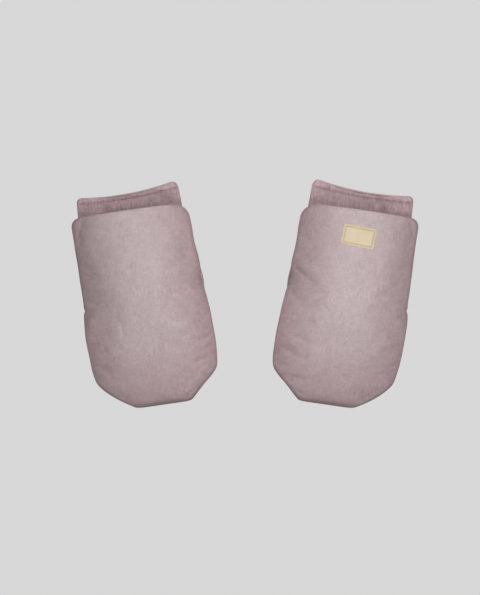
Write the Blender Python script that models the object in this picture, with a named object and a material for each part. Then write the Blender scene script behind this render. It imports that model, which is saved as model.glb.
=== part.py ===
"""A pair of padded hand muffs for a pushchair's handlebar, modelled in metres with +Z up.

Each muff is a front pad and a back pad, joined at the bottom and open at the top for the hand. The handlebar
goes through the open slots in its sides, and press studs above the slots hold the front pad to the back pad.
Within one muff, a place is given by three lengths: across (towards the other muff), up (from the bottom edge)
and height (away from the parting plane between the two pads, forwards on the front pad, backwards on the back
pad). The origin is on the handlebar's axis, midway between the muffs. The fronts face -Y.
"""

import math

import bmesh
import bpy
from mathutils import Matrix, Vector

# Place of the muffs on the handlebar
MUFF_TILT = math.radians(8.26)  # the top leans away from the other muff
MUFF_BOTTOM_X = 0.0992  # middle of the bottom edge, out from the origin
MUFF_BOTTOM_Z = 0.0988  # and below it

# Handlebar slot, in both sides of each muff
SLOT_BOTTOM = 0.033
SLOT_TOP = 0.126
SLOT_LIFT = 0.0195  # how far the bar lifts each pad's rim off the parting plane
SLOT_SPREAD = 0.0026  # how far it pushes the sides out

# Lower end, where the corners are clipped
BOTTOM_HALF = 0.031
CLIP_HEIGHT = SLOT_BOTTOM
CLIP_BOW = 0.003
BOTTOM_BEND = 0.0043  # the lower end is pulled towards the other muff
BOTTOM_BEND_HEIGHT = 0.062
LEAN_START = 0.137
LEAN_SLOPE = 0.020  # drift of the middle line, a length per length of height

# The hand's room pushes each muff's side out towards the other muff, between these heights
SIDE_SWELL = 0.0013
SIDE_SWELL_LOW = 0.018
SIDE_SWELL_HIGH = 0.190
SIDE_SWELL_RUN = 0.042

# Front pad
FRONT_LENGTH = 0.225
FRONT_HALF_LOW = 0.0695
FRONT_HALF_TOP = 0.0680
FRONT_CORNER = 0.0135
FRONT_CROWN = 0.055
FRONT_MOUTH_CROWN = 0.045
FRONT_CUP_HEIGHT = 0.140  # over this height the pad swells from the bottom seam to full depth

# Back pad, whose narrower upper end is the collar
COLLAR_STAND = 0.0204  # above the front pad
BACK_LENGTH = FRONT_LENGTH + COLLAR_STAND
BACK_SETBACK_LOW = 0.0023  # each side, inside the front pad's, down by the bottom
BACK_SETBACK_SHOULDER = 0.0020  # and below the collar
COLLAR_SETBACK = 0.0087  # the collar's sides, inside the front pad's
COLLAR_TAPER = 0.0018
BACK_HALF_LOW = FRONT_HALF_LOW - BACK_SETBACK_LOW
BACK_HALF_SHOULDER = FRONT_HALF_TOP - BACK_SETBACK_SHOULDER
COLLAR_HALF_LOW = FRONT_HALF_TOP - COLLAR_SETBACK
COLLAR_HALF_TOP = COLLAR_HALF_LOW - COLLAR_TAPER
COLLAR_CORNER = 0.007
SHOULDER_DROP = 0.003  # the back pad widens below the collar, from here below the front pad's edge
SHOULDER_HEIGHT = 0.019
SHOULDER_HIGH = FRONT_LENGTH - SHOULDER_DROP
SHOULDER_LOW = SHOULDER_HIGH - SHOULDER_HEIGHT
BACK_CROWN = 0.034
BACK_MOUTH_CROWN = 0.016
BACK_CUP_HEIGHT = 0.090
COLLAR_RISE = 0.0042  # both corners of the collar stand above its middle
COLLAR_RISE_INNER = 0.0023  # and the corner by the other muff a little more

# Layers of a pad
PAD_THICKNESS = 0.0095
RIM_THICKNESS = 0.0045
SHELL_THICKNESS = 0.0010
LINING_THICKNESS = 0.0015
LAYER_GAP = 0.0005
SEAT = 0.0023  # from the parting plane to each lining, where the studs sit

# Bottom gusset
GUSSET_THICKNESS = 0.0012
GUSSET_SETBACK = 0.0005  # each edge, inside the pads' outer rims

# Press studs
STUD_RADIUS = 0.00525
STUD_HALF_GAP = 0.00015  # socket and ball, each off the parting plane
STUD_BEVEL = 0.0004
STUD_HOLE_RADIUS = 0.0021
STUD_HOLE_FLOOR = 0.0004
STUD_BALL_RADIUS = 0.0018
STUD_BALL_TIP_GAP = 0.0003
STUD_SLOT_GAP = 0.0105  # lower studs, above the slot
STUD_MOUTH_GAP = 0.032  # upper studs, below the front pad's edge
STUD_EDGE_GAP = 0.0075  # all of them, in from the back pad's side
STUD_LOW_UP = SLOT_TOP + STUD_SLOT_GAP
STUD_HIGH_UP = FRONT_LENGTH - STUD_MOUTH_GAP
STUD_SIDES = 16

# Label patch on one muff
LABEL_WIDTH = 0.039
LABEL_HEIGHT = 0.024
LABEL_THICKNESS = 0.0009
LABEL_CORNER = 0.0028
LABEL_ACROSS = -0.0026
LABEL_DROP = 0.0292  # its middle, below the front pad's edge
LABEL_UP = FRONT_LENGTH - LABEL_DROP
LABEL_TURN = math.radians(3.0)

TOUCH_GAP = 0.0003
SLOPE_STEP = 0.0005
DOME_POWER = 1.05  # how steeply a pad rises from its sides
CUP_POWER = 0.80  # and from its bottom seam

# Where the grid of a pad has its lines, as shares
COLUMN_SHARES = (0, 0.2, 0.4, 0.6, 0.78, 0.92, 1)
CLIP_ROW_SHARES = (0.2, 0.42, 0.68, 1)
SLOT_ROW_SHARES = (0.14, 0.31, 0.5, 0.69, 0.86, 1)
FRONT_ROW_SHARES = (0.2, 0.48, 0.76)
BACK_ROW_SHARES = (0.26, 0.6)
SHOULDER_ROW_SHARES = (0, 0.5, 1)
CORNER_TURNS = (0, math.pi / 6, math.pi / 3, math.pi / 2)

NUBUCK = (0.463, 0.370, 0.376)
PLUSH = (0.325, 0.233, 0.247)
WADDING = (0.86, 0.85, 0.82)
STUD_METAL = (0.55, 0.53, 0.50)
LABEL_CLOTH = (0.76, 0.66, 0.45)


def share_between(value, low, high):
    """0 at low, 1 at high, and held there beyond."""
    return min(max((value - low) / (high - low), 0), 1)


def smooth(share):
    return share * share * (3 - 2 * share)


def mix(first, second, share):
    return first + (second - first) * share


def slot_bulge(up):
    """1 at the middle of the handlebar slot, 0 at its ends and beyond."""
    middle = (SLOT_TOP + SLOT_BOTTOM) / 2
    off = (up - middle) / (SLOT_TOP - middle)
    return max(1 - off * off, 0) ** 0.85


def side_swell(up):
    """How far the side by the other muff is pushed out at this height, halved."""
    rising = smooth(share_between(up, SIDE_SWELL_LOW, SIDE_SWELL_LOW + SIDE_SWELL_RUN))
    falling = smooth(share_between(up, SIDE_SWELL_HIGH - SIDE_SWELL_RUN, SIDE_SWELL_HIGH))
    return SIDE_SWELL * rising * (1 - falling)


class FrontPad:
    facing = 1
    length = FRONT_LENGTH
    corner = FRONT_CORNER
    crown = FRONT_CROWN
    mouth_crown = FRONT_MOUTH_CROWN
    fullness = 2.2
    cup_height = FRONT_CUP_HEIGHT
    leans_above = True

    @staticmethod
    def plain_half(up):
        return mix(FRONT_HALF_LOW, FRONT_HALF_TOP, share_between(up, SLOT_BOTTOM, FRONT_LENGTH))

    @staticmethod
    def rise(_across_share, _up):
        return 0

    @staticmethod
    def upper_rows():
        low, high = SLOT_TOP, FRONT_LENGTH - FRONT_CORNER
        return [mix(low, high, share) for share in FRONT_ROW_SHARES]


class BackPad:
    facing = -1
    length = BACK_LENGTH
    corner = COLLAR_CORNER
    crown = BACK_CROWN
    mouth_crown = BACK_MOUTH_CROWN
    fullness = 2.6
    cup_height = BACK_CUP_HEIGHT
    leans_above = False

    @staticmethod
    def plain_half(up):
        body = mix(BACK_HALF_LOW, BACK_HALF_SHOULDER, share_between(up, SLOT_TOP, SHOULDER_LOW))
        collar = mix(COLLAR_HALF_LOW, COLLAR_HALF_TOP, share_between(up, SHOULDER_HIGH, BACK_LENGTH))
        return mix(body, collar, smooth(share_between(up, SHOULDER_LOW, SHOULDER_HIGH)))

    @staticmethod
    def rise(across_share, up):
        top = COLLAR_RISE * across_share**2 + COLLAR_RISE_INNER * across_share
        return top * share_between(up, SHOULDER_LOW, BACK_LENGTH) ** 2

    @staticmethod
    def upper_rows():
        body = [mix(SLOT_TOP, SHOULDER_LOW, share) for share in BACK_ROW_SHARES]
        return body + [mix(SHOULDER_LOW, SHOULDER_HIGH, share) for share in SHOULDER_ROW_SHARES]


def side_half(pad, up):
    """Half the pad's width at this height, with the clipped lower corners, before its top corners are rounded."""
    if up >= CLIP_HEIGHT:
        return pad.plain_half(up) + SLOT_SPREAD * math.sqrt(slot_bulge(up)) + side_swell(up)
    share = up / CLIP_HEIGHT
    clipped = mix(BOTTOM_HALF, pad.plain_half(CLIP_HEIGHT), share)
    return clipped + CLIP_BOW * 4 * share * (1 - share) + side_swell(up)


def middle_across(pad, up):
    """Where the pad's middle line lies across, because the muff's ends are drawn to one side."""
    lean = LEAN_SLOPE * (LEAN_START - up)
    if up > LEAN_START and not pad.leans_above:
        lean = 0
    return lean + side_swell(up) + BOTTOM_BEND * (1 - share_between(up, 0, BOTTOM_BEND_HEIGHT)) ** 2


def grid_rows(pad, inset):
    """(height up, half width) of each grid line across the pad, for an outline drawn in by inset."""
    rows = [inset]
    rows += [CLIP_HEIGHT * share for share in CLIP_ROW_SHARES]
    rows += [mix(SLOT_BOTTOM, SLOT_TOP, share) for share in SLOT_ROW_SHARES]
    rows += pad.upper_rows()
    found = [(up, side_half(pad, up) - inset * outline_slant(pad, up)) for up in rows]
    for turn in CORNER_TURNS:
        up = pad.length - pad.corner + (pad.corner - inset) * math.sin(turn)
        drawn_in = pad.corner - (pad.corner - inset) * math.cos(turn)
        found.append((up, side_half(pad, up) - drawn_in))
    return found


def outline_slant(pad, up):
    """Length across of a unit step square to the outline."""
    below = up if up <= CLIP_HEIGHT else up + SLOPE_STEP
    slope = (side_half(pad, below) - side_half(pad, below - SLOPE_STEP)) / SLOPE_STEP
    return math.hypot(1, slope)


def outer_height(pad, across, up):
    """Height of the pad's outer face."""
    rim = SEAT + RIM_THICKNESS + SLOT_LIFT * slot_bulge(up)
    above_slot = share_between(up, SLOT_TOP, pad.length)
    crown = mix(pad.crown, pad.mouth_crown, smooth(above_slot))
    cup = (1 - (1 - share_between(up, 0, pad.cup_height)) ** 2) ** CUP_POWER
    off_middle = min(abs(across - middle_across(pad, up)) / side_half(pad, up), 1)
    level = SEAT + RIM_THICKNESS
    swell = max(level + (crown - level) * cup - rim, 0)
    return rim + swell * (1 - off_middle**pad.fullness) ** DOME_POWER


def slant(height, pad, across, up):
    """Length along the height of a unit step square to a face."""
    here = height(pad, across, up)
    slope_across = (height(pad, across + SLOPE_STEP, up) - here) / SLOPE_STEP
    slope_up = (height(pad, across, up + SLOPE_STEP) - here) / SLOPE_STEP
    return math.sqrt(1 + slope_across**2 + slope_up**2)


def inner_height(pad, across, up):
    """Height of the pad's inner face, level along the rims for the studs."""
    level = SEAT + SLOT_LIFT * slot_bulge(up)
    under = outer_height(pad, across, up) - PAD_THICKNESS * slant(outer_height, pad, across, up)
    return max(level, under)


def below_outer(depth):
    def height(pad, across, up):
        return outer_height(pad, across, up) - depth * slant(outer_height, pad, across, up)

    return height


def above_inner(depth):
    def height(pad, across, up):
        return inner_height(pad, across, up) + depth * slant(inner_height, pad, across, up)

    return height


def new_object(name, bm, material, frame, place=(0, 0, 0)):
    mesh = bpy.data.meshes.new(name)
    bmesh.ops.recalc_face_normals(bm, faces=bm.faces)
    bm.to_mesh(mesh)
    bm.free()
    mesh.shade_smooth()
    mesh.set_sharp_from_angle(angle=math.radians(50))
    mesh.materials.append(material)
    obj = bpy.data.objects.new(name, mesh)
    bpy.context.scene.collection.objects.link(obj)
    obj.parent = frame
    obj.location = place
    return obj


def pad_sheet(bm, pad):
    """A flat grid whose points know their row and column, before it is shaped.

    It is cut into triangles first, the same way in every layer, so that layers a small gap apart never cross.
    """
    rows = len(grid_rows(pad, 0)) - 1
    columns = 2 * (len(COLUMN_SHARES) - 1)
    row_layer = bm.verts.layers.int.get("row") or bm.verts.layers.int.new("row")
    column_layer = bm.verts.layers.int.get("column") or bm.verts.layers.int.new("column")
    made = bmesh.ops.create_grid(bm, x_segments=columns, y_segments=rows, size=1)["verts"]
    for vert in made:
        vert[row_layer] = round((vert.co.y + 1) / 2 * rows)
        vert[column_layer] = round((vert.co.x + 1) / 2 * columns)
    faces = list({face for vert in made for face in vert.link_faces})
    bmesh.ops.triangulate(bm, faces=sorted(faces, key=lambda face: face.index), quad_method="FIXED")
    return made


def shape(bm, verts, pad, side, inset, height):
    """Puts each point where its row and column lie on one face of the pad."""
    rows = grid_rows(pad, inset)
    shares = [-share for share in reversed(COLUMN_SHARES[1:])] + list(COLUMN_SHARES)
    row_layer = bm.verts.layers.int["row"]
    column_layer = bm.verts.layers.int["column"]
    for vert in verts:
        up, half = rows[vert[row_layer]]
        share = shares[vert[column_layer]]
        across = middle_across(pad, up) + share * half
        y = -pad.facing * height(pad, across, up)
        vert.co = (side * across, y, up + pad.rise(share, up))


def new_verts(made):
    return [item for item in made["geom"] if isinstance(item, bmesh.types.BMVert)]


def layer_solid(pad, side, inset, low, high):
    """A closed layer between two faces of a pad."""
    bm = bmesh.new()
    sheet = pad_sheet(bm, pad)
    copy = new_verts(bmesh.ops.extrude_face_region(bm, geom=bm.faces[:], use_keep_orig=True))
    shape(bm, sheet, pad, side, inset, low)
    shape(bm, copy, pad, side, inset, high)
    return bm


def shell_solid(pad, side):
    """The outer cloth, turned in over the pad's rim down to its inner face."""
    bm = bmesh.new()
    outside = pad_sheet(bm, pad)
    outside_edges = [edge for edge in bm.edges if edge.is_boundary]
    turned = new_verts(bmesh.ops.extrude_edge_only(bm, edges=outside_edges))
    inside = pad_sheet(bm, pad)
    inside_set = set(inside)
    inside_edges = [edge for edge in bm.edges if edge.is_boundary and edge.verts[0] in inside_set]
    seam = new_verts(bmesh.ops.extrude_edge_only(bm, edges=inside_edges))
    shape(bm, outside, pad, side, 0, outer_height)
    shape(bm, turned, pad, side, 0, inner_height)
    shape(bm, inside, pad, side, SHELL_THICKNESS, below_outer(SHELL_THICKNESS))
    shape(bm, seam, pad, side, SHELL_THICKNESS, inner_height)
    bmesh.ops.bridge_loops(bm, edges=[edge for edge in bm.edges if edge.is_boundary])
    return bm


def lining_solid(pad, side):
    return layer_solid(pad, side, SHELL_THICKNESS + LAYER_GAP, inner_height, above_inner(LINING_THICKNESS))


def wadding_solid(pad, side):
    low = above_inner(LINING_THICKNESS + LAYER_GAP)
    high = below_outer(SHELL_THICKNESS + LAYER_GAP)
    return layer_solid(pad, side, SHELL_THICKNESS + LAYER_GAP, low, high)


def gusset_solid(side):
    """A strip round the bottom edge and the clipped corners, as deep as both rims."""
    bm = bmesh.new()
    loop = []
    for inset in (-TOUCH_GAP, -TOUCH_GAP - GUSSET_THICKNESS):
        rows = grid_rows(FrontPad, inset)[: 1 + len(CLIP_ROW_SHARES)]
        far = [(middle_across(FrontPad, up) - half, up) for up, half in reversed(rows)]
        near = [(middle_across(FrontPad, up) + half, up) for up, half in rows]
        loop += far + near if not loop else reversed(far + near)
    depth = SEAT + RIM_THICKNESS - GUSSET_SETBACK
    corners = [bm.verts.new((side * across, -depth, up)) for across, up in loop]
    face = bm.faces.new(corners)
    made = new_verts(bmesh.ops.extrude_face_region(bm, geom=[face], use_keep_orig=True))
    bmesh.ops.translate(bm, verts=made, vec=(0, 2 * depth, 0))
    return bm


def turned_solid(profile):
    """Spins (radius, height) points, from axis to axis, round the Y axis."""
    bm = bmesh.new()
    points = [bm.verts.new((radius, y, 0)) for radius, y in profile]
    edges = [bm.edges.new(pair) for pair in zip(points, points[1:])]
    bmesh.ops.spin(
        bm,
        geom=points + edges,
        cent=(0, 0, 0),
        axis=(0, 1, 0),
        angle=math.tau,
        steps=STUD_SIDES,
        use_merge=True,
    )
    bmesh.ops.remove_doubles(bm, verts=bm.verts, dist=STUD_HALF_GAP / 10)
    return bm


def socket_solid():
    """Front half of a stud, its hole opening backwards."""
    back, front = -STUD_HALF_GAP, -(SEAT - TOUCH_GAP)
    return turned_solid(
        (
            (0, front + STUD_HOLE_FLOOR),
            (STUD_HOLE_RADIUS, front + STUD_HOLE_FLOOR),
            (STUD_HOLE_RADIUS, back),
            (STUD_RADIUS - STUD_BEVEL, back),
            (STUD_RADIUS, back - STUD_BEVEL),
            (STUD_RADIUS, front + STUD_BEVEL),
            (STUD_RADIUS - STUD_BEVEL, front),
            (0, front),
        )
    )


def ball_solid():
    """Back half of a stud, its ball standing forwards into the socket."""
    front, back = STUD_HALF_GAP, SEAT - TOUCH_GAP
    tip = -(SEAT - TOUCH_GAP) + STUD_HOLE_FLOOR + STUD_BALL_TIP_GAP
    return turned_solid(
        (
            (0, tip),
            (STUD_BALL_RADIUS - STUD_BEVEL, tip),
            (STUD_BALL_RADIUS, tip + STUD_BEVEL),
            (STUD_BALL_RADIUS, front),
            (STUD_RADIUS - STUD_BEVEL, front),
            (STUD_RADIUS, front + STUD_BEVEL),
            (STUD_RADIUS, back - STUD_BEVEL),
            (STUD_RADIUS - STUD_BEVEL, back),
            (0, back),
        )
    )


def label_solid(side):
    """A thin patch that follows the front shell, with rounded corners."""
    bm = bmesh.new()
    arcs = [math.pi / 2 * share for share in (0, 0.5, 1)]
    rows = [
        (LABEL_HEIGHT / 2 - LABEL_CORNER * (1 - math.sin(turn)), LABEL_CORNER * (1 - math.cos(turn)))
        for turn in arcs
    ]
    rows = [(-up, drawn_in) for up, drawn_in in reversed(rows)] + rows
    columns = 6
    flat = bmesh.ops.create_grid(bm, x_segments=columns, y_segments=len(rows) - 1, size=1)["verts"]
    copy = new_verts(bmesh.ops.extrude_face_region(bm, geom=bm.faces[:], use_keep_orig=True))
    turn = Matrix.Rotation(LABEL_TURN, 2)
    for verts, clear in ((flat, TOUCH_GAP), (copy, TOUCH_GAP + LABEL_THICKNESS)):
        for vert in verts:
            up, drawn_in = rows[round((vert.co.y + 1) / 2 * (len(rows) - 1))]
            place = turn @ Vector((vert.co.x * (LABEL_WIDTH / 2 - drawn_in), up))
            across, up = LABEL_ACROSS + place.x, LABEL_UP + place.y
            height = below_outer(-clear)(FrontPad, across, up)
            vert.co = (side * across, -height, up)
    return bm


def cloth(name, colour, roughness, metallic=0.0):
    material = bpy.data.materials.new(name)
    material.use_nodes = True
    shader = material.node_tree.nodes["Principled BSDF"]
    shader.inputs["Base Color"].default_value = (*colour, 1)
    shader.inputs["Roughness"].default_value = roughness
    shader.inputs["Metallic"].default_value = metallic
    material.diffuse_color = (*colour, 1)
    return material


def new_empty(name, parent, place, turn=0):
    empty = bpy.data.objects.new(name, None)
    bpy.context.scene.collection.objects.link(empty)
    empty.parent = parent
    empty.location = place
    empty.rotation_euler = (0, turn, 0)
    return empty


def build_pad(word, pad, side, frame, place):
    new_object(f"{word}_shell", shell_solid(pad, side), cloth(f"{word} shell", NUBUCK, 0.85), frame, place)
    new_object(f"{word}_wadding", wadding_solid(pad, side), cloth(f"{word} wadding", WADDING, 0.95), frame, place)
    new_object(f"{word}_lining", lining_solid(pad, side), cloth(f"{word} lining", PLUSH, 0.95), frame, place)


def build_studs(word, side, back_frame, front_frame, front_place):
    for where, up, sense in (
        ("inner_lower", STUD_LOW_UP, 1),
        ("inner_upper", STUD_HIGH_UP, 1),
        ("outer_lower", STUD_LOW_UP, -1),
        ("outer_upper", STUD_HIGH_UP, -1),
    ):
        across = sense * (side_half(BackPad, up) - STUD_EDGE_GAP)
        centre = Vector((side * across, 0, up))
        name = f"{word}_stud_socket_{where}"
        new_object(name, socket_solid(), cloth(name, STUD_METAL, 0.35, 1.0), front_frame, centre + front_place)
        name = f"{word}_stud_ball_{where}"
        new_object(name, ball_solid(), cloth(name, STUD_METAL, 0.35, 1.0), back_frame, centre)


def build_muff(word, side):
    """One muff. side is 1 where across is +X, on the left muff, and -1 on the right one."""
    frame = new_empty(
        f"{word} muff frame", None, (-side * MUFF_BOTTOM_X, 0, -MUFF_BOTTOM_Z), -side * MUFF_TILT
    )
    # The front pad opens about its own outer rim at the bottom seam.
    hinge_offset = Vector((0, -(SEAT + RIM_THICKNESS), 0))
    hinge = new_empty(f"{word} front hinge", frame, hinge_offset)
    build_pad(f"{word}_back", BackPad, side, frame, (0, 0, 0))
    build_pad(f"{word}_front", FrontPad, side, hinge, -hinge_offset)
    build_studs(word, side, frame, hinge, -hinge_offset)
    name = f"{word}_bottom_gusset"
    new_object(name, gusset_solid(side), cloth(name, NUBUCK, 0.85), frame)
    return hinge, -hinge_offset


for old in list(bpy.data.objects):
    bpy.data.objects.remove(old, do_unlink=True)

build_muff("left", 1)
right_hinge, right_front_place = build_muff("right", -1)
new_object("right_label_patch", label_solid(-1), cloth("label", LABEL_CLOTH, 0.8), right_hinge, right_front_place)
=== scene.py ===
"""The looks of a pair of padded hand muffs with plush linings, in metres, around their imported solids."""

import math
from functools import cache

import bmesh
import bpy
from mathutils import Matrix, Vector, noise
from mathutils.bvhtree import BVHTree
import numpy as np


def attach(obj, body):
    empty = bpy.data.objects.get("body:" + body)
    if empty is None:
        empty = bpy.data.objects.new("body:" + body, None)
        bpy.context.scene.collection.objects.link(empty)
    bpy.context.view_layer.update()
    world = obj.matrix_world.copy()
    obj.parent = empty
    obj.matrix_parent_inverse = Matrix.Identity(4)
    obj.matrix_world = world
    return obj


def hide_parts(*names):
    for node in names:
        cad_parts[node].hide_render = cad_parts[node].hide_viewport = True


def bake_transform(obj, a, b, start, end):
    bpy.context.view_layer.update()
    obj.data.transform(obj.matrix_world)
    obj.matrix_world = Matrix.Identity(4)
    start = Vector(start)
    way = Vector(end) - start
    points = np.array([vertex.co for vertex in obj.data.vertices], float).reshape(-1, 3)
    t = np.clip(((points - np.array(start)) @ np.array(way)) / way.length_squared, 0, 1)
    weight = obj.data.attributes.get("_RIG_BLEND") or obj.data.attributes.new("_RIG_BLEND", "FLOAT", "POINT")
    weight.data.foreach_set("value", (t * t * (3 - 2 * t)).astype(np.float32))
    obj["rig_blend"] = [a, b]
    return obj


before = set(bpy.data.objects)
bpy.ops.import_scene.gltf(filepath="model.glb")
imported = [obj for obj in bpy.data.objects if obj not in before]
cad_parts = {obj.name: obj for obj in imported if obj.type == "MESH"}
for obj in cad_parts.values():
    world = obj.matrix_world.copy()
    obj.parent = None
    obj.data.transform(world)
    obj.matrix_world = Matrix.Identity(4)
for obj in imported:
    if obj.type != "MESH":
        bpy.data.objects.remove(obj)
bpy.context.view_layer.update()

# Wadding: a thick sheet of polyester batting in each panel, which gives it its crown and its soft rim. It is
# cut a little inside the covers. All layers of a panel follow this form, so its cut and curves are set here.
# Places are across, towards the other muff, up from the bottom edge, and height off the parting plane.
MUFF_TILT = math.radians(8.26)
MUFF_BOTTOM_X = 0.0992
MUFF_BOTTOM_Z = 0.0988
SLOT_BOTTOM = 0.033
SLOT_TOP = 0.126
SLOT_LIFT = 0.0165
SLOT_SPREAD = 0.0026
BOTTOM_HALF = 0.031
FRONT_HALF = (0.0695, 0.0680)
BACK_HALF = (0.0672, 0.0660)
COLLAR_HALF = (0.0603, 0.0587)
SHOULDER_LOW = 0.203
SHOULDER_HIGH = 0.222
CLIP_BOW = 0.003
CLIP_SOFTNESS = 0.0024
CORNER_LIFT = 0.0013
SIDE_SWELL = 0.0013
SIDE_SWELL_LOW = 0.018
SIDE_SWELL_HIGH = 0.190
SIDE_SWELL_RUN = 0.042
CUP_POWER = 0.74
DOME_POWER = 1.05
SLOT_FULLNESS = 0.2
SLOT_EASE = 1.5
BOTTOM_BEND = 0.0043
BOTTOM_BEND_HEIGHT = 0.062
LEAN_START = 0.137
LEAN_SLOPE = 0.020
SEAT = 0.0023
RIM_RADIUS = 0.00225
PAD_THICKNESS = 0.0095
LINING_THICKNESS = 0.0015
SHELL_THICKNESS = 0.0010
LAYER_GAP = 0.0005
STUD_EDGE_GAP = 0.0075
STUD_UPS = (0.1365, 0.193)
STUD_SEAT_REACH = 0.0075
COLLAR_RISE = 0.0040
COLLAR_RISE_INNER = 0.0020
COLLAR_STANDS = {"left": 0.0011, "right": 0.0034}
COLUMNS = 58
EDGE_CROWDING = 0.12
CLIP_ROWS = 13
BODY_ROWS = 74
CORNER_ROWS = 8
SLOPE_STEP = 0.0005
INNER_SOFTNESS = 0.0012


def share_between(value, low, high):
    """0 at low, 1 at high, and held there beyond."""
    return min(max((value - low) / (high - low), 0), 1)


def smooth(share):
    return share * share * (3 - 2 * share)


def mix(first, second, share):
    return first + (second - first) * share


def hump(distance, reach):
    """1 at no distance, falling softly to nothing past its reach."""
    return math.exp(-((distance / reach) ** 2))


def slot_bulge(up):
    """1 at the middle of the side slot, easing to 0 at its ends."""
    middle = (SLOT_TOP + SLOT_BOTTOM) / 2
    off = (up - middle) / (SLOT_TOP - middle)
    return max(1 - off * off, 0) ** SLOT_EASE


def side_swell(up):
    """How far the hand's room pushes out the side by the other muff, halved."""
    rising = smooth(share_between(up, SIDE_SWELL_LOW, SIDE_SWELL_LOW + SIDE_SWELL_RUN))
    falling = smooth(share_between(up, SIDE_SWELL_HIGH - SIDE_SWELL_RUN, SIDE_SWELL_HIGH))
    return SIDE_SWELL * rising * (1 - falling)


class Panel:
    """One padded panel: how it is cut, and how its outer and inner faces curve."""

    def __init__(self, name, facing, length, corners, crown, mouth_crown, cup_height, fullness, seam_turn):
        self.name, self.facing, self.length, self.seam_turn = name, facing, length, seam_turn
        self.corner = max(corners)
        self.outer_corner, self.inner_corner = corners
        self.crown, self.mouth_crown = crown, mouth_crown
        self.cup_height, self.fullness = cup_height, fullness
        self.rows = CLIP_ROWS + BODY_ROWS + CORNER_ROWS

    def plain_half(self, up):
        if self.name == "front":
            return mix(*FRONT_HALF, share_between(up, SLOT_BOTTOM, self.length))
        body = mix(*BACK_HALF, share_between(up, SLOT_TOP, SHOULDER_LOW))
        collar = mix(*COLLAR_HALF, share_between(up, SHOULDER_HIGH, self.length))
        return mix(body, collar, smooth(share_between(up, SHOULDER_LOW, SHOULDER_HIGH)))

    def rise(self, muff, share, up):
        """How much higher the collar stands at its corners than at its middle, and on each muff."""
        if self.name == "front":
            return 0
        stand = COLLAR_STANDS[muff] + COLLAR_RISE * share**2 + COLLAR_RISE_INNER * share
        return stand * share_between(up, SHOULDER_LOW, self.length) ** 2

    def side_half(self, up):
        side = self.plain_half(max(up, SLOT_BOTTOM)) + SLOT_SPREAD * math.sqrt(slot_bulge(up))
        share = up / SLOT_BOTTOM
        clipped = mix(BOTTOM_HALF, self.plain_half(SLOT_BOTTOM), share)
        clipped += CLIP_BOW * 4 * share * max(1 - share, 0)
        return (side + clipped - math.hypot(side - clipped, CLIP_SOFTNESS)) / 2 + side_swell(up)

    def side_slant(self, up):
        """Length across of a unit step square to the outline."""
        below = min(up, SLOT_BOTTOM) if up < SLOT_BOTTOM + 2 * SLOPE_STEP else up
        return math.hypot(1, (self.side_half(below) - self.side_half(below - SLOPE_STEP)) / SLOPE_STEP)

    def middle(self, up):
        """Where the middle line lies across, because the muff's ends are drawn to one side."""
        lean = LEAN_SLOPE * (LEAN_START - up)
        if up > LEAN_START and self.name == "back":
            lean = 0
        return lean + side_swell(up) + BOTTOM_BEND * (1 - share_between(up, 0, BOTTOM_BEND_HEIGHT)) ** 2

    def spot(self, row, column, inset):
        """(share of the half width, height up) of a grid point, in the outline drawn in by inset."""
        share = 2 * column / COLUMNS - 1
        share *= 1 + EDGE_CROWDING - EDGE_CROWDING * share**2
        if row <= CLIP_ROWS:
            up = mix(inset, SLOT_BOTTOM, row / CLIP_ROWS)
            up += CORNER_LIFT * share**12 * (1 - row / CLIP_ROWS) ** 4
            drawn_in = inset * self.side_slant(up)
        elif row <= CLIP_ROWS + BODY_ROWS:
            up = mix(SLOT_BOTTOM, self.length - self.corner, (row - CLIP_ROWS) / BODY_ROWS)
            drawn_in = inset
        else:
            turn = math.pi / 2 * (row - CLIP_ROWS - BODY_ROWS) / CORNER_ROWS
            up = self.length - self.corner + (self.corner - inset) * math.sin(turn)
            corner = self.inner_corner if share > 0 else self.outer_corner
            above = max(up - self.length + corner, 0)
            drawn_in = corner - math.sqrt(max((corner - inset) ** 2 - above**2, 0))
        return share, self.middle(up) + share * (self.side_half(up) - drawn_in), up

    def rim(self, up):
        return SEAT + 2 * RIM_RADIUS + SLOT_LIFT * slot_bulge(up)

    def outer(self, across, up):
        crown = mix(self.crown, self.mouth_crown, smooth(share_between(up, SLOT_TOP, self.length)))
        cup = (1 - (1 - share_between(up, 0, self.cup_height)) ** 2) ** CUP_POWER
        level, rim = SEAT + 2 * RIM_RADIUS, self.rim(up)
        swell = max(level + (crown - level) * cup - rim, 0)
        fullness = self.fullness + SLOT_FULLNESS * slot_bulge(up)
        off_middle = min(abs(across - self.middle(up)) / self.side_half(up), 1)
        return rim + swell * (1 - off_middle**fullness) ** DOME_POWER

    def slant(self, across, up):
        """Length along the height of a unit step square to the outer face."""
        here = self.outer(across, up)
        rises = (self.outer(across + SLOPE_STEP, up) - here, self.outer(across, up + SLOPE_STEP) - here)
        return math.sqrt(1 + sum((rise / SLOPE_STEP) ** 2 for rise in rises))

    def inner(self, across, up):
        """The pad's thickness below the outer face, but level along the rims and under the studs."""
        level = SEAT + SLOT_LIFT * slot_bulge(up)
        under = self.outer(across, up) - PAD_THICKNESS * self.slant(across, up)
        soft = (level + under + math.hypot(level - under, INNER_SOFTNESS)) / 2
        near = 0
        for stud_up in STUD_UPS:
            stud_across = self.side_half(stud_up) - STUD_EDGE_GAP
            for side in (-1, 1):
                off = math.hypot(across - self.middle(stud_up) - side * stud_across, up - stud_up)
                near = max(near, hump(off, STUD_SEAT_REACH))
        return mix(soft, level, near)


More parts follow.
